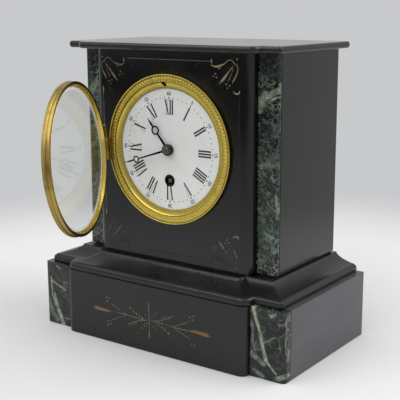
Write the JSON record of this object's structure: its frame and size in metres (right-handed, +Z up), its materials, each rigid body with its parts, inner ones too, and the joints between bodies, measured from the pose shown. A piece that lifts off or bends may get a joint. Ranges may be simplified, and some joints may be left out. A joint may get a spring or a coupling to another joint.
{
  "type": "mantel clock",
  "caption": "Black slate and green marble mantel clock with a round enamel dial, hinged glass door and wind-up pendulum movement.",
  "frame": {"origin": "middle of the plinth's underside, on the surface that the clock stands on", "axes": "+Z up, +Y towards the back, +X to the right as seen from the front"},
  "size_m": [0.22, 0.2059, 0.222],
  "materials": {
    "black_slate": "polished black slate",
    "green_marble": "polished dark green veined marble",
    "polished_brass": "polished and lacquered",
    "movement_brass": "grained",
    "movement_steel": "polished steel",
    "blued_steel": "blued and polished",
    "dial_enamel": "white vitreous enamel",
    "clear_glass": "clear flat glass with a bevelled edge"
  },
  "bodies": {
    "case": {"plinth_front_panel": "black_slate", "plinth_back_panel": "black_slate", "base_slab": "black_slate", "plinth_side_panel_left": "black_slate", "plinth_side_panel_right": "black_slate", "cove_moulding": "black_slate", "body_floor_slab": "black_slate", "body_front_panel": "black_slate", "body_back_panel": "black_slate", "body_side_panel_left": "black_slate", "body_side_panel_right": "black_slate", "top_slab": "black_slate", "plinth_corner_block_left": "green_marble", "plinth_corner_block_right": "green_marble", "pilaster_left": "green_marble", "pilaster_right": "green_marble", "bezel": "polished_brass", "strap_left": "polished_brass", "strap_right": "polished_brass", "rear_ring": "polished_brass", "door_hinge_pin": "movement_steel", "rear_hinge_pin": "movement_steel", "dial": "dial_enamel", "winding_grommet": "blued_steel", "dial_plate": "movement_brass", "strap_screw_left": "movement_steel", "strap_screw_right": "movement_steel", "front_plate": "movement_brass", "rear_plate": "movement_brass", "rear_cock": "movement_brass", "suspension_block": "movement_brass", "click_screw": "movement_steel", "click_spring": "movement_steel"},
    "glass_door": {"door_ring": "polished_brass", "door_glass": "clear_glass", "door_retaining_ring": "polished_brass"},
    "back_door": {"rear_door": "movement_brass"},
    "minute_hand_body": {"minute_hand": "blued_steel", "hand_collet": "blued_steel", "cannon_pinion": "movement_steel"},
    "hour_hand_body": {"hour_hand": "blued_steel", "hour_wheel": "movement_brass"},
    "minute_wheel_body": {"minute_wheel": "movement_brass"},
    "barrel_body": {"barrel": "movement_brass", "barrel_cover": "movement_brass", "mainspring": "movement_steel"},
    "winding_body": {"barrel_arbor": "movement_steel", "ratchet_wheel": "movement_steel"},
    "click_body": {"click": "movement_steel"},
    "intermediate_body": {"intermediate_wheel": "movement_brass"},
    "centre_body": {"centre_wheel": "movement_brass"},
    "third_body": {"third_wheel": "movement_brass"},
    "escape_body": {"escape_wheel": "movement_brass"},
    "anchor_body": {"anchor": "movement_steel", "crutch": "movement_brass"},
    "pendulum_body": {"suspension_spring": "movement_steel", "pendulum_rod": "movement_steel", "pendulum_bob": "movement_brass"},
    "regulator_body": {"regulator_arbor": "movement_steel"},
    "rating_body": {"rating_screw": "movement_steel"}
  },
  "joints": [
    {"name": "glass_door_hinge", "type": "hinge", "parent": "case", "child": "glass_door", "pos_m": [-0.05566, -0.0436, 0.14241], "axis": [0.0698, 0, -0.9976], "range_deg": [-68, 62]},
    {"name": "rear_door_hinge", "type": "hinge", "parent": "case", "child": "back_door", "pos_m": [0.038, 0.0569, 0.1463], "axis": [0, 0, -1], "range_deg": [0, 150]},
    {"name": "minute_hand_turn", "type": "hinge", "parent": "case", "child": "minute_hand_body", "pos_m": [0, 0, 0.1463], "axis": [0, 1, 0], "continuous": true},
    {"name": "hour_hand_turn", "type": "hinge", "parent": "case", "child": "hour_hand_body", "pos_m": [0, 0, 0.1463], "axis": [0, 1, 0], "continuous": true},
    {"name": "minute_wheel_turn", "type": "hinge", "parent": "case", "child": "minute_wheel_body", "pos_m": [0.00983, 0, 0.15318], "axis": [0, 1, 0], "continuous": true},
    {"name": "third_wheel_turn", "type": "hinge", "parent": "case", "child": "third_body", "pos_m": [-0.01285, 0, 0.15785], "axis": [0, 1, 0], "continuous": true},
    {"name": "centre_wheel_turn", "type": "hinge", "parent": "case", "child": "centre_body", "pos_m": [0, 0, 0.1463], "axis": [0, 1, 0], "continuous": true},
    {"name": "escape_wheel_turn", "type": "hinge", "parent": "case", "child": "escape_body", "pos_m": [0, 0, 0.1683], "axis": [0, 1, 0], "continuous": true},
    {"name": "intermediate_wheel_turn", "type": "hinge", "parent": "case", "child": "intermediate_body", "pos_m": [0.01572, 0, 0.13763], "axis": [0, 1, 0], "continuous": true},
    {"name": "barrel_turn", "type": "hinge", "parent": "case", "child": "barrel_body", "pos_m": [0, 0, 0.1237], "axis": [0, 1, 0], "continuous": true},
    {"name": "winding_arbor_turn", "type": "hinge", "parent": "case", "child": "winding_body", "pos_m": [0, 0, 0.1237], "axis": [0, 1, 0], "range_deg": [0, 1440]},
    {"name": "click_lift", "type": "hinge", "parent": "case", "child": "click_body", "pos_m": [0.013, 0, 0.1237], "axis": [0, 1, 0], "range_deg": [0, 12]},
    {"name": "pendulum_swing", "type": "hinge", "parent": "case", "child": "pendulum_body", "pos_m": [0, 0, 0.1793], "axis": [0, 1, 0], "range_deg": [-3, 3]},
    {"name": "anchor_swing", "type": "hinge", "parent": "case", "child": "anchor_body", "pos_m": [0, 0, 0.1793], "axis": [0, 1, 0], "range_deg": [-3, 3]},
    {"name": "regulator_turn", "type": "hinge", "parent": "case", "child": "regulator_body", "pos_m": [0, 0, 0.1936], "axis": [0, 1, 0], "continuous": true},
    {"name": "rating_screw_turn", "type": "hinge", "parent": "case", "child": "rating_body", "pos_m": [0, 0.0092, 0.1793], "axis": [0, 0, 1], "continuous": true}
  ],
  "couplings": [
    {"joint": "minute_wheel_turn", "follows": "minute_hand_turn", "ratio": -0.33333},
    {"joint": "hour_hand_turn", "follows": "minute_hand_turn", "ratio": 0.083333},
    {"joint": "escape_wheel_turn", "follows": "third_wheel_turn", "ratio": -11},
    {"joint": "centre_wheel_turn", "follows": "third_wheel_turn", "ratio": -0.090909},
    {"joint": "intermediate_wheel_turn", "follows": "third_wheel_turn", "ratio": 0.011364},
    {"joint": "barrel_turn", "follows": "third_wheel_turn", "ratio": -0.0018939},
    {"joint": "anchor_swing", "follows": "pendulum_swing", "ratio": 1},
    {"joint": "rating_screw_turn", "follows": "regulator_turn", "ratio": -1}
  ]
}
